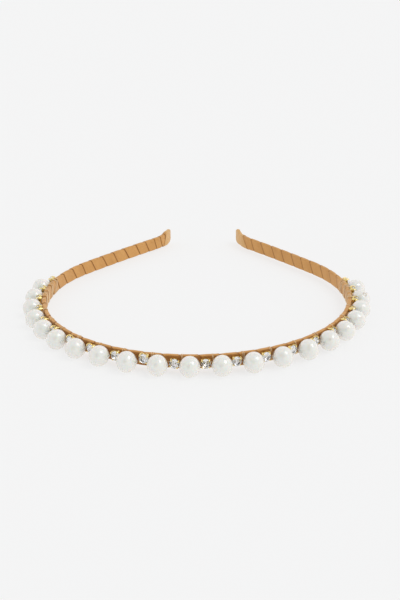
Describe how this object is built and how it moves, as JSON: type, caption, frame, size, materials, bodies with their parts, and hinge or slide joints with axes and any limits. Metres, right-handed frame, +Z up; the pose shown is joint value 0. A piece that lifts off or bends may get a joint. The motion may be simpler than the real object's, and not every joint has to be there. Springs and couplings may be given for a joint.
{
  "type": "headband",
  "caption": "Slim spring headband wound with satin ribbon, with drilled pearls and claw-set stones lashed along the crown and sides.",
  "frame": {"origin": "on the surface that the band lies on, below the middle of the whole object", "axes": "+Z up across the width of the band as it lies on its side, +Y from the crown towards the two tips, +X to the right seen from the crown"},
  "size_m": [0.1514, 0.1644, 0.0083],
  "materials": {
    "strip": "bare spring steel",
    "ribbon": "satin weave",
    "pearl": "nacre coat",
    "stone": "clear, foil-backed",
    "setting": "bright gold plate",
    "thread": "clear nylon"
  },
  "bodies": {
    "crown": {"spring_strip": "strip", "ribbon_crown": "ribbon", "pearl_10": "pearl", "pearl_11": "pearl", "pearl_12": "pearl", "stones_crown": "stone", "settings_crown": "setting", "threads_crown": "thread"},
    "right_shoulder": {"ribbon_right_shoulder": "ribbon", "stones_right_shoulder": "stone", "settings_right_shoulder": "setting", "threads_right_shoulder": "thread", "pearl_13": "pearl", "pearl_14": "pearl", "pearl_15": "pearl"},
    "right_temple": {"ribbon_right_temple": "ribbon", "stones_right_temple": "stone", "settings_right_temple": "setting", "threads_right_temple": "thread", "pearl_16": "pearl", "pearl_17": "pearl", "pearl_18": "pearl"},
    "right_arm": {"ribbon_right_arm": "ribbon", "stones_right_arm": "stone", "settings_right_arm": "setting", "threads_right_arm": "thread", "pearl_19": "pearl", "pearl_20": "pearl", "pearl_21": "pearl", "tip_fold_right": "ribbon"},
    "left_shoulder": {"ribbon_left_shoulder": "ribbon", "stones_left_shoulder": "stone", "settings_left_shoulder": "setting", "threads_left_shoulder": "thread", "pearl_09": "pearl", "pearl_08": "pearl", "pearl_07": "pearl"},
    "left_temple": {"ribbon_left_temple": "ribbon", "stones_left_temple": "stone", "settings_left_temple": "setting", "threads_left_temple": "thread", "pearl_06": "pearl", "pearl_05": "pearl", "pearl_04": "pearl"},
    "left_arm": {"ribbon_left_arm": "ribbon", "stones_left_arm": "stone", "settings_left_arm": "setting", "threads_left_arm": "thread", "pearl_03": "pearl", "pearl_02": "pearl", "pearl_01": "pearl", "tip_fold_left": "ribbon"}
  },
  "joints": [
    {"name": "right_crown_flex", "type": "hinge", "parent": "crown", "child": "right_shoulder", "pos_m": [0.01457, -0.07233, 0.00413], "axis": [0, 0, -1], "range_deg": [-2, 6.5], "stiffness_Nm_per_rad": 6, "deforming": ["spring_strip"]},
    {"name": "right_shoulder_flex", "type": "hinge", "parent": "right_shoulder", "child": "right_temple", "pos_m": [0.04526, -0.05645, 0.00413], "axis": [0, 0, -1], "range_deg": [-1.85, 5.9]},
    {"name": "right_temple_flex", "type": "hinge", "parent": "right_temple", "child": "right_arm", "pos_m": [0.06403, -0.02745, 0.00413], "axis": [0, 0, -1], "range_deg": [-1.65, 5.25]},
    {"name": "left_crown_flex", "type": "hinge", "parent": "crown", "child": "left_shoulder", "pos_m": [-0.01457, -0.07233, 0.00413], "axis": [0, 0, 1], "range_deg": [-2, 6.5], "stiffness_Nm_per_rad": 6, "deforming": ["spring_strip"]},
    {"name": "left_shoulder_flex", "type": "hinge", "parent": "left_shoulder", "child": "left_temple", "pos_m": [-0.04526, -0.05645, 0.00413], "axis": [0, 0, 1], "range_deg": [-1.85, 5.9]},
    {"name": "left_temple_flex", "type": "hinge", "parent": "left_temple", "child": "left_arm", "pos_m": [-0.06403, -0.02745, 0.00413], "axis": [0, 0, 1], "range_deg": [-1.65, 5.25]}
  ],
  "couplings": [
    {"joint": "right_shoulder_flex", "follows": "right_crown_flex", "ratio": 0.9},
    {"joint": "right_temple_flex", "follows": "right_crown_flex", "ratio": 0.8},
    {"joint": "left_shoulder_flex", "follows": "left_crown_flex", "ratio": 0.9},
    {"joint": "left_temple_flex", "follows": "left_crown_flex", "ratio": 0.8}
  ]
}
